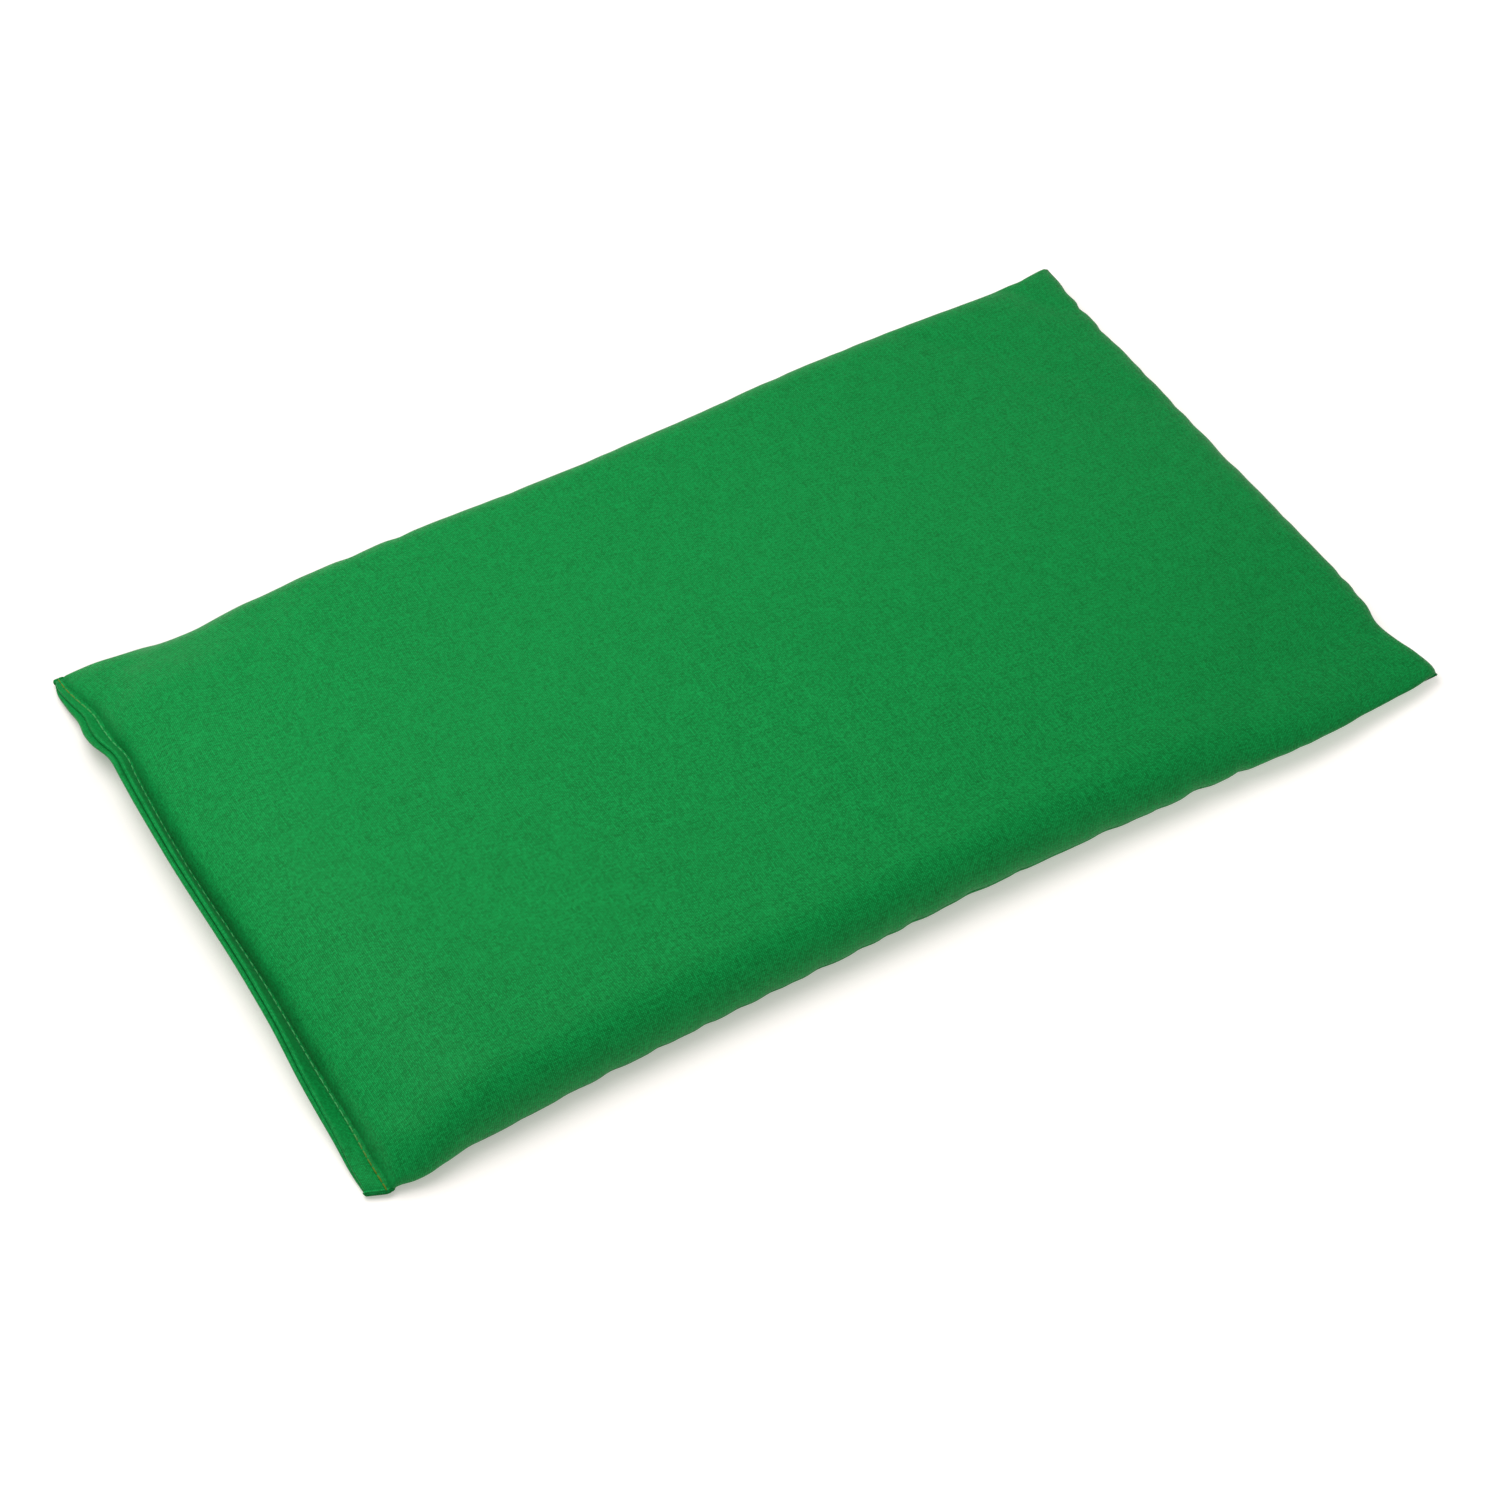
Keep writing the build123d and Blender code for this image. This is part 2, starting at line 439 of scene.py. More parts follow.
class Span:
    """Grid lines from one seam to the opposite one, with the rounding at both."""

    def __init__(self, first_rim, last_rim, rise, width):
        first = rim_profile(first_rim, rise)
        last = rim_profile(last_rim, rise)
        first_extra = first[0][-1] - first[1][-1]
        last_extra = last[0][-1] - last[1][-1]
        self.cloth_length = width + first_extra + last_extra
        self.cloth = graded_lines(self.cloth_length, FINE_CELL, COARSE_CELL)
        self.from_first = self.cloth
        self.from_last = self.cloth_length - self.cloth
        near_first = self.from_first < self.cloth_length / 2
        flat = self.cloth - first_extra
        self.place = flat.copy()
        self.share = np.ones(len(self.cloth))
        rounded = near_first & (self.from_first < first[0][-1])
        self.place[rounded] = np.interp(self.from_first[rounded], first[0], first[1])
        self.share[rounded] = np.interp(self.from_first[rounded], first[0], first[2])
        rounded = ~near_first & (self.from_last < last[0][-1])
        self.place[rounded] = width - np.interp(self.from_last[rounded], last[0], last[1])
        self.share[rounded] = np.interp(self.from_last[rounded], last[0], last[2])
        self.fraction = self.place / width


def seam_plane(u, v):
    """Height of the seam plane inside its four seams, blended from their heights."""
    front = seam_line("front", "height", u)
    back = seam_line("back", "height", u)
    closing = seam_line("closing", "height", v)
    end = seam_line("end", "height", v)
    corner = {name: seam_line(name, "height", np.array([0.0, 1.0])) for name in ("front", "back")}
    flat = (1 - v) * ((1 - u) * corner["front"][0] + u * corner["front"][1])
    flat = flat + v * ((1 - u) * corner["back"][0] + u * corner["back"][1])
    return (1 - v) * front + v * back + (1 - u) * closing + u * end - flat


def wrinkles(grid):
    """The fine shape of a simulated panel: its height less its height blurred."""
    height = grid[..., 2]
    return height - smoothed(height, WRINKLE_REACH / SIM_CELL)


def crown_height(u, v):
    """Height of the crown above the table, which falls towards the back and the end."""
    to_back = 1 - fade(v - BACK_FALL_START, 1 - BACK_FALL_START)
    to_end = 1 - fade(u - END_FALL_START, 1 - END_FALL_START)
    return CROWN * (1 - BACK_FALL * to_back) * (1 - END_FALL * to_end)


def corner_taper(to_closing, to_end, to_front, to_back):
    """The share of its height that the crown keeps, which is less near the four corners."""
    corners = ((to_closing, to_front), (to_closing, to_back), (to_end, to_front), (to_end, to_back))
    taper = 1
    for (near_x, near_y), reach, stretch in zip(corners, CORNER_TAPER, CORNER_STRETCH):
        taper = taper * (1 - CORNER_DROP * fade(np.hypot(near_x, near_y * stretch), reach))
    return taper


def body_grid(simulated, side):
    """The body of one panel between its seams: its points and its two spans of grid lines."""
    rims = TOP_RIMS if side > 0 else BOTTOM_RIMS
    rise = TOP_RISE if side > 0 else BOTTOM_DROP
    gain = WRINKLE_GAIN if side > 0 else LOWER_WRINKLE_GAIN
    along = Span(rims["closing"], rims["end"], rise, BODY_LENGTH)
    across = Span(rims["front"], rims["back"], rise, BODY_WIDTH)
    u = along.fraction[:, None] + 0 * across.fraction[None]
    v = across.fraction[None] + 0 * along.fraction[:, None]
    to_closing = along.from_first[:, None]
    to_end = along.from_last[:, None]
    to_front = across.from_first[None]
    to_back = across.from_last[None]

    bulge = np.minimum(across.place, 0)[None] * fade(np.minimum(to_closing, to_end), BULGE_CLEARANCE)
    x = HINGE_X + along.place[:, None] + 0 * v
    y = -HALF_WIDTH + across.place[None] - bulge
    x = x - (1 - u) * seam_line("closing", "out", v) + u * seam_line("end", "out", v)
    y = y - (1 - v) * seam_line("front", "out", u) + v * seam_line("back", "out", u)

    wall = 1 - np.exp(-to_closing / WALL_REACH)
    x = x + puckers("closing", v * BODY_WIDTH, to_closing) * wall
    x = x - puckers("end", v * BODY_WIDTH, to_end)
    y = y + puckers("front", u * BODY_LENGTH, to_front)
    y = y - puckers("back", u * BODY_LENGTH, to_back)
    rounded = ROUNDED_CORNER * (fall(to_end, ROUNDED_REACH) * fall(to_back, ROUNDED_REACH)) ** 2
    x = x - rounded
    y = y - rounded

    plane = seam_plane(u, v)
    goal = crown_height(u, v) if side > 0 else 0.5 * CLOTH + 0 * u
    taper = corner_taper(to_closing, to_end, to_front, to_back)
    share = along.share[:, None] * across.share[None] * taper
    rows = spline_weights(simulated.shape[0], along.cloth / along.cloth_length)
    columns = spline_weights(simulated.shape[1], across.cloth / across.cloth_length)
    fine = rows @ wrinkles(simulated) @ columns.T
    nearest_seam = np.minimum(np.minimum(to_closing, to_end), np.minimum(to_front, to_back))
    keep = 1 - fade(nearest_seam, WRINKLE_CLEARANCE)
    z = plane + (goal - plane) * share + fine * keep * gain
    z = np.maximum(z, LEAST_HEIGHT)
    return np.stack([x, y, z], -1), along, across


# ---------------------------------------------------------------- the panels

# The closing flange, from the front corner to the back corner: its tilt above the horizontal in degrees
FLANGE_TILT = [
    (0, -2), (0.04, 4), (0.1, 20), (0.18, 42), (0.25, 55), (0.35, 60), (0.7, 62), (0.78, 56), (0.82, 44),
    (0.86, 30), (0.91, 18), (0.95, 6), (1, -2),
]
# How much of its full width it has: it was sewn narrower towards the back corner
FLANGE_REACH = [
    (0, 0.82), (0.1, 0.82), (0.2, 0.95), (0.45, 0.97), (0.7, 0.82), (0.8, 0.76), (0.87, 0.66), (0.908, 0.52),
    (0.947, 0.43), (0.98, 0.38), (1, 0.28),
]
# How far its lower fold then stands out past the upper one, in millimetres
FOLD_STAGGER = [
    (0, 0.1), (0.06, 0.3), (0.2, 0.35), (0.4, 0.35), (0.6, 0.55), (0.75, 0.9), (0.93, 1.0), (0.97, 0.5),
    (1, 0.1),
]
HEM_NARROWING = 0.06          # how much narrower the folded-in cloth is inside the bag
HEM_NARROWING_REACH = 2 * MM
CURL_REACH = 1.5 * MM         # the flange curls up over this distance from its hinge
CURL_STEPS = 12
CORNER_PULL = 1.7 * MM        # how far the flange's front corner is drawn back along the seam
CORNER_PULL_REACH = 14 * MM
PINCH_REACH = 1.6 * MM        # both ends of the flange are pinched almost shut over this distance
LEAST_PINCH = 0.05

# The stops along one folded ply: millimetres out from the hinge, degrees round the fold, and millimetres out
# along the hem, which runs back inside the bag
OUTER_RUN = (0.35, 0.7, 1.0, 1.3, 1.6, 2.0, 2.5, 3.2, 4.0, 4.8)
FOLD_ANGLES = (65, 40, 15, -10, -35, -60, -90)
HEM_RUN = (3.0, 1.5, 0.0, -2.5, -5.0, -7.3)
PUFF_REACH = 2.2              # millimetres out to where a ply has its puffed height
PRESSED_REACH = 0.5 * MM      # the topstitching presses a ply down this far to either side

# The cloth turned inside at the plain seams
TURNING_RUN = (8.0, 4.0, 1.5, 0.5)        # millimetres in from the seam
TURNING_GAP = 0.02 * MM       # from the turned cloth to the seam plane
TURNING_SHARE = 0.8           # its depth as a share of the distance to the nearest corner
NARROW_TURNING = 0.6 * MM     # its depth along the ends of the flange
LEAST_TURNING = 0.05 * MM
HINGE_LINES = 4               # grid lines of the body that still belong to the hinge
HINGE_REACH = 1.5 * MM        # the plies part at the hinge over this distance
ROLL_REACH = 0.5 * MM         # the cloth rolls round a plain seam over this distance


def ply_path():
    """One folded ply from the topstitching out, round the fold and back: (distance out, height) pairs."""
    bend = PUFFED_HEIGHT / 2 - INNER_PLY_HEIGHT / 2
    bend_height = PUFFED_HEIGHT / 2 + INNER_PLY_HEIGHT / 2
    bend_out = FLANGE_WIDTH - bend
    path = []
    for out in OUTER_RUN:
        pressed = math.exp(-(((out * MM - STITCH_INSET) / PRESSED_REACH) ** 2))
        height = HINGE_HEIGHT + (PUFFED_HEIGHT - HINGE_HEIGHT) * min(1, out / PUFF_REACH)
        path.append((out * MM, height + (STITCHED_HEIGHT - height) * pressed))
    path.append((bend_out, PUFFED_HEIGHT))
    for degrees in FOLD_ANGLES:
        angle = math.radians(degrees)
        path.append((bend_out + bend * math.cos(angle), bend_height + bend * math.sin(angle)))
    for out in HEM_RUN:
        path.append((out * MM, INNER_PLY_HEIGHT))
    return path


def flange_place(v, out, height):
    """Offset from the hinge, and upward direction, of a point so far out along the curled-up flange."""
    tilt = np.radians(smooth_curve(FLANGE_TILT, np.clip(v, 0, 1)))
    steps = np.linspace(0, out, CURL_STEPS)[:, None]
    middles = (steps[1:] + steps[:-1]) / 2
    angles = tilt[None] * np.clip(middles / CURL_REACH, 0, 1)
    sweep = np.stack([-np.cos(angles), 0 * angles, np.sin(angles)], -1)
    offset = (sweep * np.diff(steps, axis=0)[..., None]).sum(axis=0)
    angle = tilt * np.clip(out / CURL_REACH, 0, 1)
    upward = np.stack([np.sin(angle), 0 * angle, np.cos(angle)], -1)
    return offset + upward * (height * flange_pinch(v))[:, None], upward


def flange_pinch(v):
    """How far the flange's ends are pinched shut, from 1 in the middle to almost 0."""
    rim = np.minimum(v, 1 - v) * BODY_WIDTH
    return np.sqrt(np.clip(rim / PINCH_REACH, LEAST_PINCH, 1))


def flange_columns(seam, v, side):
    """The folded ply as grid columns, from its raw edge inside the bag to the topstitching."""
    stagger = 0 * v
    if side < 0:
        stagger = smooth_curve(FOLD_STAGGER, np.clip(v, 0, 1)) * MM
    narrowing = (smooth_curve(FLANGE_REACH, np.clip(v, 0, 1)) - 1) * FLANGE_WIDTH
    pull = CORNER_PULL * fade(v * BODY_WIDTH, CORNER_PULL_REACH)
    nudge = 0.01
    columns = []
    for out, height in ply_path():
        share = max(out - STITCH_INSET, 0) / (FLANGE_WIDTH - STITCH_INSET)
        if out > 0:
            offset, _ = flange_place(v, out, side * height)
            further, _ = flange_place(v, out * (1 + nudge), side * height)
            along = (further - offset) / (nudge * out)
            line = seam + offset + along * ((stagger + narrowing) * share)[:, None]
        else:
            line = seam + np.array([-out, 0, side * height])
            line[:, 1] *= 1 - HEM_NARROWING * min(1, -out / HEM_NARROWING_REACH)
        line[:, 1] += pull * share
        columns.append(line)
    return columns[::-1]


def turned_rows(edge, inward, reach, side):
    """Cloth that rolls round a plain seam and runs back inside the bag, innermost line first."""
    rows = []
    for out in TURNING_RUN:
        line = edge + np.minimum(out * MM, reach)[:, None] * np.array(inward)
        line[:, 2] += side * TURNING_GAP
        rows.append(line)
    return rows


def turned_depth(distance):
    """How deep the cloth is turned in, this far from the end of a plain seam."""
    return np.clip(distance * TURNING_SHARE, LEAST_TURNING, ALLOWANCE)


def panel_grid(simulated, side):
    """The whole panel as one grid: folded ply, body, and the cloth turned inside at the plain seams."""
    grid, along, across = body_grid(simulated, side)
    seam = grid[0].copy()
    v = across.fraction
    rim = np.minimum(across.from_first, across.from_last)
    parting = HINGE_HEIGHT * np.exp(-along.from_first[:, None] / HINGE_REACH)
    grid[..., 2] += side * flange_pinch(v)[None] * parting
    to_plain_seam = np.minimum(rim[None], along.from_last[:, None])
    grid[..., 2] += side * TURNING_GAP * np.exp(-to_plain_seam / ROLL_REACH)

    flange = flange_columns(seam, v, side)
    end_lines = turned_rows(grid[-1], (-1, 0, 0), turned_depth(rim), side)[::-1]
    body_depth = turned_depth(along.from_last)
    body_depth[:HINGE_LINES] = NARROW_TURNING
    depth = np.concatenate(
        [np.full(len(flange), NARROW_TURNING), body_depth, np.full(len(end_lines), LEAST_TURNING)]
    )
    grid = np.concatenate([np.array(flange), grid, np.array(end_lines)])
    front = np.stack(turned_rows(grid[:, 0], (0, 1, 0), depth, side), 1)
    back = np.stack(turned_rows(grid[:, -1], (0, -1, 0), depth, side)[::-1], 1)
    return np.concatenate([front, grid, back], 1)


def grid_mesh(name, grid, side):
    """A mesh of one grid, with its faces looking out of the bag."""
    count_x, count_y = grid.shape[:2]
    faces = grid_faces(np.arange(count_x * count_y).reshape(count_x, count_y))
    if side < 0:
        faces = faces[:, ::-1]
    mesh = bpy.data.meshes.new(name)
    mesh.from_pydata(grid.reshape(-1, 3).tolist(), [], faces.tolist())
    mesh.shade_smooth()
    return mesh


def cloth_places(grid):
    """Where each grid point lies on the flat cloth, in metres, so that the weave follows the cloth."""
    along = path_lengths(grid[:, grid.shape[1] // 2])
    across = path_lengths(grid[grid.shape[0] // 2])
    x, y = np.meshgrid(along, across, indexing="ij")
    return np.stack([x, y, 0 * x], -1)


def add_panel(name, body, side):
    """One cotton panel of real thickness that stands for its CAD node."""
    grid = panel_grid(body, side)
    mesh = grid_mesh(name, grid, side)
    places = mesh.attributes.new("cloth", "FLOAT_VECTOR", "POINT")
    places.data.foreach_set("vector", cloth_places(grid).ravel())
    panel = add_object(name, mesh)
    thickness = panel.modifiers.new("Thickness", "SOLIDIFY")
    thickness.thickness = CLOTH
    thickness.offset = -1
    return panel


# ---------------------------------------------------------------- threads

def tube(name, path, radius, sides=6):
    """A round thread along a list of points, closed at both ends."""
    path = np.asarray(path)
    forward = np.gradient(path, axis=0)
    forward /= np.linalg.norm(forward, axis=1)[:, None]
    across = np.cross(forward, (0, 0, 1))
    across /= np.linalg.norm(across, axis=1)[:, None]
    above = np.cross(across, forward)
    angles = np.arange(sides) * 2 * math.pi / sides
    rings = (
        path[:, None]
        + radius * np.cos(angles)[None, :, None] * across[:, None]
        + radius * np.sin(angles)[None, :, None] * above[:, None]
    )
    points = rings.reshape(-1, 3)
    faces = []
    for ring in range(len(path) - 1):
        for k in range(sides):
            a = ring * sides + k
            b = ring * sides + (k + 1) % sides
            faces.append((a, b, b + sides, a + sides))
    faces.append(tuple(range(sides))[::-1])
    last = (len(path) - 1) * sides
    faces.append(tuple(range(last, last + sides)))
    mesh = bpy.data.meshes.new(name)
    mesh.from_pydata(points.tolist(), [], faces)
    mesh.shade_smooth()
    return add_object(name, mesh)


def stitch_path(line, normal, height, depth, steps=8):
    """The route of a thread that lies on the cloth and dives into it at every stitch."""
    lengths = path_lengths(line)
    count = int(lengths[-1] / STITCH_PITCH)
    places = np.linspace(0, lengths[-1], count * steps + 1)
    base = np.stack([np.interp(places, lengths, line[:, k]) for k in range(3)], -1)
    normals = np.broadcast_to(normal, line.shape)
    normals = np.stack([np.interp(places, lengths, normals[:, k]) for k in range(3)], -1)
    over = np.abs(np.sin(np.pi * np.arange(len(places)) / steps)) ** STITCH_FULLNESS
    rise = -depth + (height + depth) * over
    return base + rise[:, None] * normals


# ---------------------------------------------------------------- seed fill

SEED_CELL = 1.7 * MM
SEED_LUMP = 0.45 * MM         # greatest unevenness of the seeds' surface
FILL_CLEARANCE = 1.1 * MM     # from the cloth's outer face to the seeds
FILL_INSET = 2 * MM           # from the seams to the seeds


def add_fill(top, bottom):
    """The seeds as one lumpy body just inside the cloth."""
    upper, along, across = body_grid(top, 1)
    lower, low_along, low_across = body_grid(bottom, -1)
    count_x = int(BODY_LENGTH / SEED_CELL)
    count_y = int(BODY_WIDTH / SEED_CELL)
    x = np.linspace(FILL_INSET, BODY_LENGTH - FILL_INSET, count_x) / BODY_LENGTH
    y = np.linspace(FILL_INSET, BODY_WIDTH - FILL_INSET, count_y) / BODY_WIDTH
    up = read_grid(upper, along.fraction, across.fraction, x, y)
    down = read_grid(lower, low_along.fraction, low_across.fraction, x, y)
    rng = np.random.default_rng(7)
    room = np.maximum(up[..., 2] - down[..., 2] - 2 * FILL_CLEARANCE, 0)
    lumps = rng.uniform(0, SEED_LUMP, (2, *room.shape))
    lumps = np.minimum(lumps, room[None] / 3)
    middle = (up[..., 2] + down[..., 2]) / 2
    down[..., :2] = up[..., :2]
    up[..., 2] = middle + room / 2 - lumps[0]
    down[..., 2] = middle - room / 2 + lumps[1]
    rim = np.ones(room.shape, bool)
    rim[1:-1, 1:-1] = False
    up[rim, 2] = middle[rim]
    top_ids = np.arange(room.size).reshape(room.shape)
    bottom_ids = top_ids.copy()
    bottom_ids[~rim] = room.size + np.arange((~rim).sum())
    points = np.concatenate([up.reshape(-1, 3), down[~rim]])
    faces = np.concatenate([grid_faces(top_ids), grid_faces(bottom_ids)[:, [0, 3, 2, 1]]])
    mesh = bpy.data.meshes.new("loose_seeds")
    mesh.from_pydata(points.tolist(), [], faces.tolist())
    mesh.shade_smooth()
    return add_object("loose_seeds", mesh)


def read_grid(grid, rows, columns, new_rows, new_columns):
    """A grid of points read at new row and column positions by straight interpolation."""
    by_row = np.stack(
        [[np.interp(new_rows, rows, line) for line in grid[..., k].T] for k in range(3)], -1
    ).transpose(1, 0, 2)
    return np.stack(
        [[np.interp(new_columns, columns, line) for line in by_row[..., k]] for k in range(3)], -1
    )


# ---------------------------------------------------------------- materials

# Linear colours, each pair from the dark to the light end of what a material's pattern blends
COTTON_COLOURS = ((0.0006, 0.105, 0.016, 1), (0.0040, 0.335, 0.070, 1))
COTTON_SHEEN = (0.4, 1.0, 0.5, 1)
THREAD_GREENS = ((0.03, 0.26, 0.07, 1), (0.09, 0.47, 0.15, 1))
THREAD_OLIVES = ((0.07, 0.14, 0.008, 1), (0.16, 0.24, 0.02, 1))
SEED_COLOURS = ((0.12, 0.045, 0.015, 1), (0.30, 0.14, 0.05, 1))
# Painted shade for the gaps between the seeds
SEED_GAP_SHADE = (0.02, 0.008, 0.004, 1)
FLOOR_COLOUR = (0.77, 0.725, 0.70, 1)
FLOOR_GLOW_COLOUR = (1.0, 0.96, 0.93, 1)

# How far each pattern shifts the cotton between its two colours
# The weave's share is painted shade: it darkens the gaps between the threads and lightens their crowns
WEAVE_SHADE_SHARE = 0.8
WARP_SHARE = 0.38
WEFT_SHARE = 0.34
# The grain's share gives each thread crossing a random tone, partly as painted highlights on the crossings
GRAIN_AND_HIGHLIGHT_SHARE = 0.40
BROAD_SHARE = 0.06
THREAD_STEP = 0.77            # steps of the noise from one cotton thread to the next, and along each of them
THREAD_DRIFT = 0.05

TWIST_RATE = 14000.0          # radians a metre of slanting distance along a sewing thread
SEEDS_PER_METRE = 330.0

LIGHT_PLACE = Vector((-0.14, 0.12, 0.46))
LIGHT_SIDE = 0.45
LIGHT_POWER = 2.38
SURROUND_STRENGTH = 0.46

# The table's own glow: what it is under the lamp, what it gains for each metre from there, and its limit
GLOW_START = 0.12
GLOW_RISE = 1.05
GLOW_LIMIT = 0.75


class Nodes:
    """Short calls for building one material's nodes."""

    def __init__(self, name):
        self.material = bpy.data.materials.new(name)
        self.material.use_nodes = True
        self.tree = self.material.node_tree
        self.shader = self.tree.nodes["Principled BSDF"]

    def link(self, source, target):
        self.tree.links.new(source, target)

    def feed(self, socket, value):
        """Links an output to a socket, or sets the socket to a plain value."""
        if isinstance(value, bpy.types.NodeSocket):
            self.link(value, socket)
        else:
            socket.default_value = value

    def math(self, operation, *values, clamp=False):
        node = self.tree.nodes.new("ShaderNodeMath")
        node.operation = operation
        node.use_clamp = clamp
        for socket, value in zip(node.inputs, values):
            self.feed(socket, value)
        return node.outputs[0]

    def attribute(self, name):
        node = self.tree.nodes.new("ShaderNodeAttribute")
        node.attribute_name = name
        return node

    def split(self, vector):
        node = self.tree.nodes.new("ShaderNodeSeparateXYZ")
        self.link(vector, node.inputs[0])
        return node.outputs

    def join(self, x, y, z=0.0):
        node = self.tree.nodes.new("ShaderNodeCombineXYZ")
        for socket, value in zip(node.inputs, (x, y, z)):
            self.feed(socket, value)
        return node.outputs[0]

    def noise(self, vector, scale, detail=2.0, roughness=0.5):
        node = self.tree.nodes.new("ShaderNodeTexNoise")
        self.link(vector, node.inputs["Vector"])
        node.inputs["Scale"].default_value = scale
        node.inputs["Detail"].default_value = detail
        node.inputs["Roughness"].default_value = roughness
        return node.outputs["Fac"]

    def white_noise(self, vector):
        node = self.tree.nodes.new("ShaderNodeTexWhiteNoise")
        node.noise_dimensions = "2D"
        self.link(vector, node.inputs["Vector"])
        return node.outputs["Value"]

    def blend(self, factor, first, second):
        node = self.tree.nodes.new("ShaderNodeMix")
        node.data_type = "RGBA"
        self.feed(node.inputs[0], factor)
        self.feed(node.inputs[6], first)
        self.feed(node.inputs[7], second)
        return node.outputs[2]

    def bump(self, height, strength, distance):
        node = self.tree.nodes.new("ShaderNodeBump")
        node.inputs["Strength"].default_value = strength
        node.inputs["Distance"].default_value = distance
        self.link(height, node.inputs["Height"])
        return node.outputs["Normal"]


def cotton_material():
    """Green plain-weave cotton, with the weave, uneven threads and hardly any shine. Painted shade darkens
    the gaps of the weave, and painted highlights lighten random crossings.
    """
    n = Nodes("green_cotton")
    cloth = n.attribute("cloth").outputs["Vector"]
    x, y, _ = n.split(cloth)
    warp = n.math("MULTIPLY", x, THREADS_ALONG_X)
    weft = n.math("MULTIPLY", y, THREADS_ALONG_Y)
    warp_wave = n.math("COSINE", n.math("MULTIPLY", warp, math.pi))
    weft_wave = n.math("COSINE", n.math("MULTIPLY", weft, math.pi))
    crossing = n.math("MULTIPLY", warp_wave, weft_wave)
    warp_round = n.math("POWER", n.math("ABSOLUTE", warp_wave), 0.6)
    weft_round = n.math("POWER", n.math("ABSOLUTE", weft_wave), 0.6)
    warp_over = n.math("MULTIPLY", warp_round, n.math("MULTIPLY_ADD", crossing, 0.5, 0.5))
    weft_over = n.math("MULTIPLY", weft_round, n.math("MULTIPLY_ADD", crossing, -0.5, 0.5))
    weave = n.math("MAXIMUM", warp_over, weft_over)

    warp_number = n.math("ROUND", warp)
    weft_number = n.math("ROUND", weft)
    warp_lane = n.math("MULTIPLY", warp_number, THREAD_STEP)
    weft_lane = n.math("MULTIPLY", weft_number, THREAD_STEP)
    warp_shade = n.noise(n.join(warp_lane, n.math("MULTIPLY", weft, THREAD_DRIFT)), 1.0, 1.0)
    weft_shade = n.noise(n.join(n.math("MULTIPLY", warp, THREAD_DRIFT), weft_lane), 1.0, 1.0)
    # Random tone for each thread crossing, which also stands in for highlights on the crossings: partly
    # painted highlights
    grain = n.white_noise(n.join(warp_number, weft_number))
    broad = n.noise(cloth, 28.0, 3.0)

    # The weave darkens the gaps between the threads in the colour, as painted shade
    tone = n.math("MULTIPLY", weave, WEAVE_SHADE_SHARE)
    for change, part in ((warp_shade, WARP_SHARE), (weft_shade, WEFT_SHARE), (grain, GRAIN_AND_HIGHLIGHT_SHARE)):
        tone = n.math("ADD", tone, n.math("MULTIPLY_ADD", change, part, -part / 2))
    tone = n.math("ADD", tone, n.math("MULTIPLY", broad, BROAD_SHARE), clamp=True)
    relief = n.math("MULTIPLY_ADD", grain, 0.4, weave)
    n.link(n.blend(tone, *COTTON_COLOURS), n.shader.inputs["Base Color"])
    n.link(n.math("MULTIPLY_ADD", weave, -0.08, 0.48), n.shader.inputs["Roughness"])
    n.link(n.bump(relief, 0.6, 0.08 * MM), n.shader.inputs["Normal"])
    n.shader.inputs["Specular IOR Level"].default_value = 0.06
    n.shader.inputs["Sheen Weight"].default_value = 0.05
    n.shader.inputs["Sheen Roughness"].default_value = 0.5
    n.shader.inputs["Sheen Tint"].default_value = COTTON_SHEEN
    return n.material


def thread_material():
    """Twisted sewing thread, light green, with an olive cast towards the ends of the seam."""
    n = Nodes("sewing_thread")
    tint = n.attribute("tint").outputs["Fac"]
    place = n.tree.nodes.new("ShaderNodeTexCoord").outputs["Object"]
    x, y, z = n.split(place)
    lean = n.math("ADD", n.math("ADD", x, y), n.math("MULTIPLY", z, 1.4))
    twist = n.math("SINE", n.math("MULTIPLY", lean, TWIST_RATE))
    fibres = n.math("MULTIPLY", n.noise(place, 3000.0, 2.0), 0.6)
    shade = n.math("ADD", n.math("MULTIPLY_ADD", twist, 0.2, 0.2), fibres, clamp=True)
    green = n.blend(shade, *THREAD_GREENS)
    olive = n.blend(shade, *THREAD_OLIVES)
    n.link(n.blend(tint, green, olive), n.shader.inputs["Base Color"])
    n.link(n.bump(twist, 0.4, 0.04 * MM), n.shader.inputs["Normal"])
    n.shader.inputs["Roughness"].default_value = 0.6
    n.shader.inputs["Specular IOR Level"].default_value = 0.15
    return n.material


def seed_material():
    """Smooth brown flax seeds, closely packed, with painted shade in the gaps between them."""
    n = Nodes("flax_seed")
    place = n.tree.nodes.new("ShaderNodeTexCoord").outputs["Object"]
    cells = n.tree.nodes.new("ShaderNodeTexVoronoi")
    cells.inputs["Scale"].default_value = SEEDS_PER_METRE
    n.link(place, cells.inputs["Vector"])
    # The gaps between the seeds are darkened in the colour as painted shade
    edge = n.math("MULTIPLY", cells.outputs["Distance"], 1.3, clamp=True)
    hue = n.split(cells.outputs["Color"])[0]
    brown = n.blend(hue, *SEED_COLOURS)
    n.link(n.blend(edge, brown, SEED_GAP_SHADE), n.shader.inputs["Base Color"])
    n.link(n.bump(n.math("SUBTRACT", 1.0, edge), 0.8, 0.6 * MM), n.shader.inputs["Normal"])
    n.link(n.math("MULTIPLY_ADD", hue, 0.2, 0.25), n.shader.inputs["Roughness"])
    return n.material


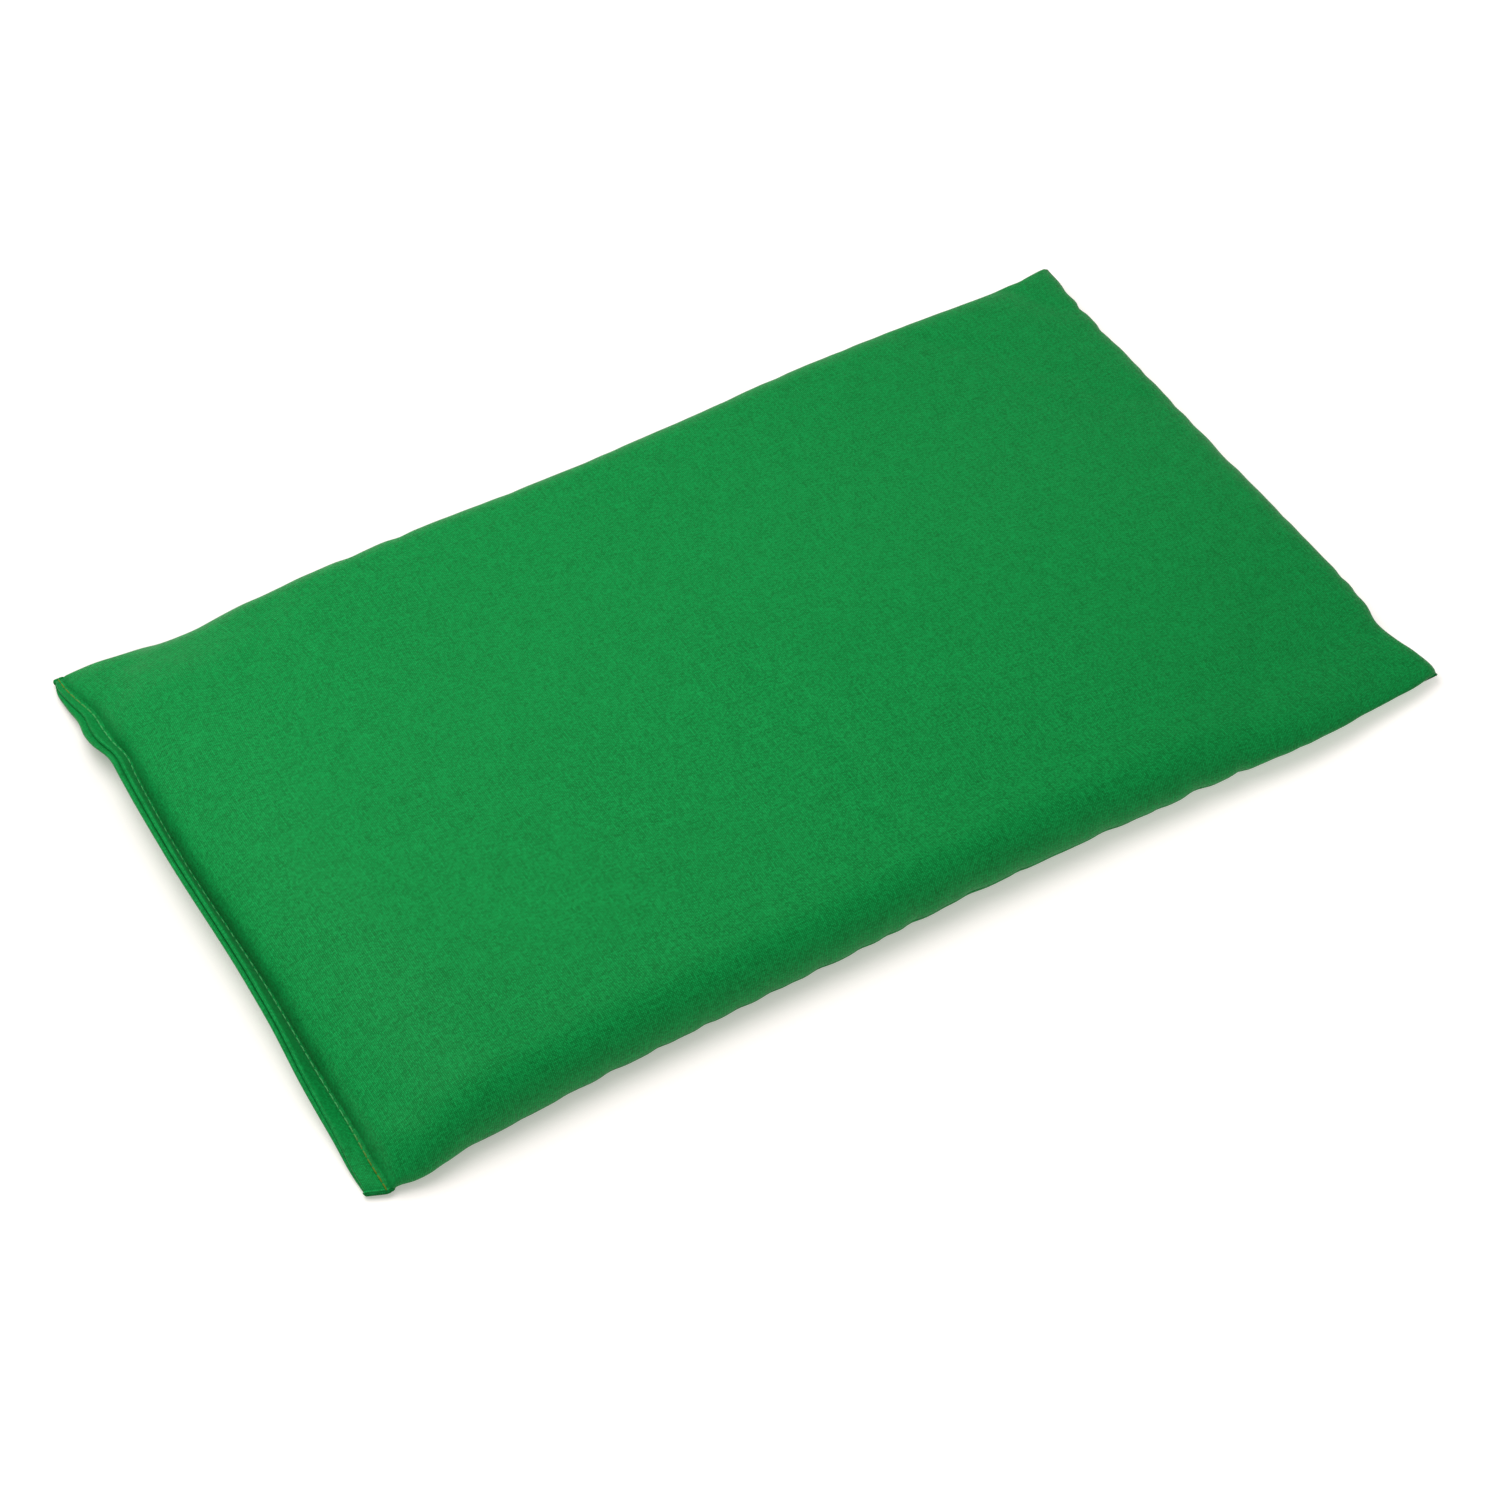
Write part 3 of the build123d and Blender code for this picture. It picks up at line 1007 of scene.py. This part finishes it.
def floor_material():
    """A plain white table that glows a little, more so further out, where the lamp reaches it less."""
    n = Nodes("studio_floor")
    place = n.tree.nodes.new("ShaderNodeTexCoord").outputs["Object"]
    distance = n.tree.nodes.new("ShaderNodeVectorMath")
    distance.operation = "DISTANCE"
    n.link(place, distance.inputs[0])
    distance.inputs[1].default_value = (LIGHT_PLACE.x, LIGHT_PLACE.y, 0)
    glow = n.math("MULTIPLY_ADD", distance.outputs["Value"], GLOW_RISE, GLOW_START)
    n.link(n.math("MINIMUM", glow, GLOW_LIMIT), n.shader.inputs["Emission Strength"])
    n.shader.inputs["Emission Color"].default_value = FLOOR_GLOW_COLOUR
    n.shader.inputs["Base Color"].default_value = FLOOR_COLOUR
    n.shader.inputs["Roughness"].default_value = 0.9
    n.shader.inputs["Specular IOR Level"].default_value = 0.1
    return n.material


# ---------------------------------------------------------------- putting it together

TINT_REACH = 18 * MM          # the topstitching turns olive over this distance from each end
CLOSING_TRIM = 3              # grid lines that the topstitching leaves free at each end
PLAIN_TRIM = 8                # and that the hidden stitches leave free at each end of a plain seam


def closing_stitches(grid, v):
    """The two topstitching threads, by part, sewn through the flange beside its hinge."""
    threads = {}
    for side, part in ((1, "needle"), (-1, "bobbin")):
        offset, upward = flange_place(v, STITCH_INSET, side * STITCHED_HEIGHT)
        line = (grid[0] + offset)[CLOSING_TRIM:-CLOSING_TRIM]
        normal = side * upward[CLOSING_TRIM:-CLOSING_TRIM]
        path = stitch_path(line, normal, THREAD_RADIUS * THREAD_SINK, STITCH_DIVE)
        threads[part] = tube(f"closing_{part}_stitches", path, THREAD_RADIUS)
    return threads


def plain_stitches(name, edge, inward):
    """The two hidden threads of a plain seam, by part, on the cloth turned inside it."""
    line = edge[PLAIN_TRIM:-PLAIN_TRIM] + PLAIN_SEAM_INSET * np.array(inward)
    threads = {}
    for side, part in ((1, "needle"), (-1, "bobbin")):
        lie = line + np.array([0, 0, side * (CLOTH + INNER_PLY_HEIGHT)])
        path = stitch_path(lie, (0, 0, side), HIDDEN_THREAD_RADIUS, CLOTH, steps=6)
        threads[part] = tube(f"{name}_{part}_stitches", path, HIDDEN_THREAD_RADIUS)
    return threads


def set_tint(piece, is_closing):
    """Marks how olive each point of a thread is. Only the topstitching turns olive, towards its ends."""
    tint = piece.data.attributes.new("tint", "FLOAT", "POINT")
    to_corner = HALF_WIDTH - np.abs([point.co.y for point in piece.data.vertices])
    tint.data.foreach_set("value", fade(to_corner, TINT_REACH) * is_closing)


def add_threads(top):
    """All eight threads, each standing for its CAD node."""
    material = thread_material()
    grid, _, across = body_grid(top, 1)
    seams = {
        "closing": closing_stitches(grid, across.fraction),
        "front": plain_stitches("front", grid[:, 0], (0, 1, 0)),
        "back": plain_stitches("back", grid[:, -1], (0, -1, 0)),
        "end": plain_stitches("end", grid[-1], (-1, 0, 0)),
    }
    for name, threads in seams.items():
        for part, piece in threads.items():
            set_tint(piece, name == "closing")
            piece.data.materials.append(material)
            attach(piece, "root")
            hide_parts(f"{name}_seam_{part}_thread")


def add_floor():
    """The table that the pillow lies on, which is only for the picture."""
    floor = add_object("studio_floor", square_mesh("studio_floor", 4))
    floor.data.materials.append(floor_material())


def add_lights():
    """A white surround and one large soft light above and behind."""
    world = bpy.data.worlds.new("studio")
    bpy.context.scene.world = world
    world.use_nodes = True
    background = world.node_tree.nodes["Background"]
    background.inputs["Color"].default_value = (1.0, 1.0, 1.0, 1)
    background.inputs["Strength"].default_value = SURROUND_STRENGTH
    data = bpy.data.lights.new("key_light", "AREA")
    data.shape = "RECTANGLE"
    data.size = LIGHT_SIDE
    data.size_y = LIGHT_SIDE
    data.energy = LIGHT_POWER
    light = add_object("key_light", data)
    light.location = LIGHT_PLACE
    light.rotation_euler = (-LIGHT_PLACE).to_track_quat("-Z", "Y").to_euler()


CAMERA_AZIMUTH = math.radians(-30.3)
CAMERA_ELEVATION = math.radians(49.6)
CAMERA_DISTANCE = 0.7226
CAMERA_TARGET = Vector((-0.0072, -0.0155, 0))
CAMERA_LENS = 83.3            # millimetres, on a sensor 36 millimetres wide


def add_camera():
    """The camera, where it looks at the closing edge and the front edge from above."""
    data = bpy.data.cameras.new("camera")
    data.lens = CAMERA_LENS
    data.sensor_width = 36
    data.clip_start = 0.01
    camera = add_object("camera", data)
    level = math.cos(CAMERA_ELEVATION)
    back = Vector(
        (
            math.sin(CAMERA_AZIMUTH) * level,
            -math.cos(CAMERA_AZIMUTH) * level,
            math.sin(CAMERA_ELEVATION),
        )
    )
    camera.location = CAMERA_TARGET + back * CAMERA_DISTANCE
    camera.rotation_euler = (-back).to_track_quat("-Z", "Y").to_euler()
    bpy.context.scene.camera = camera


def build():
    """The whole pillow and its studio."""
    bpy.context.scene.view_settings.view_transform = "Standard"
    top_body, bottom_body = filled_bag()
    cotton = cotton_material()
    for name, node, body, side in (
        ("upper_cover", "top_panel", top_body, 1),
        ("lower_cover", "bottom_panel", bottom_body, -1),
    ):
        panel = add_panel(name, body, side)
        panel.data.materials.append(cotton)
        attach(panel, "root")
        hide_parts(node)
    fill = add_fill(top_body, bottom_body)
    fill.data.materials.append(seed_material())
    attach(fill, "root")
    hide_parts("seed_fill")
    add_threads(top_body)
    add_floor()
    add_lights()
    add_camera()


build()
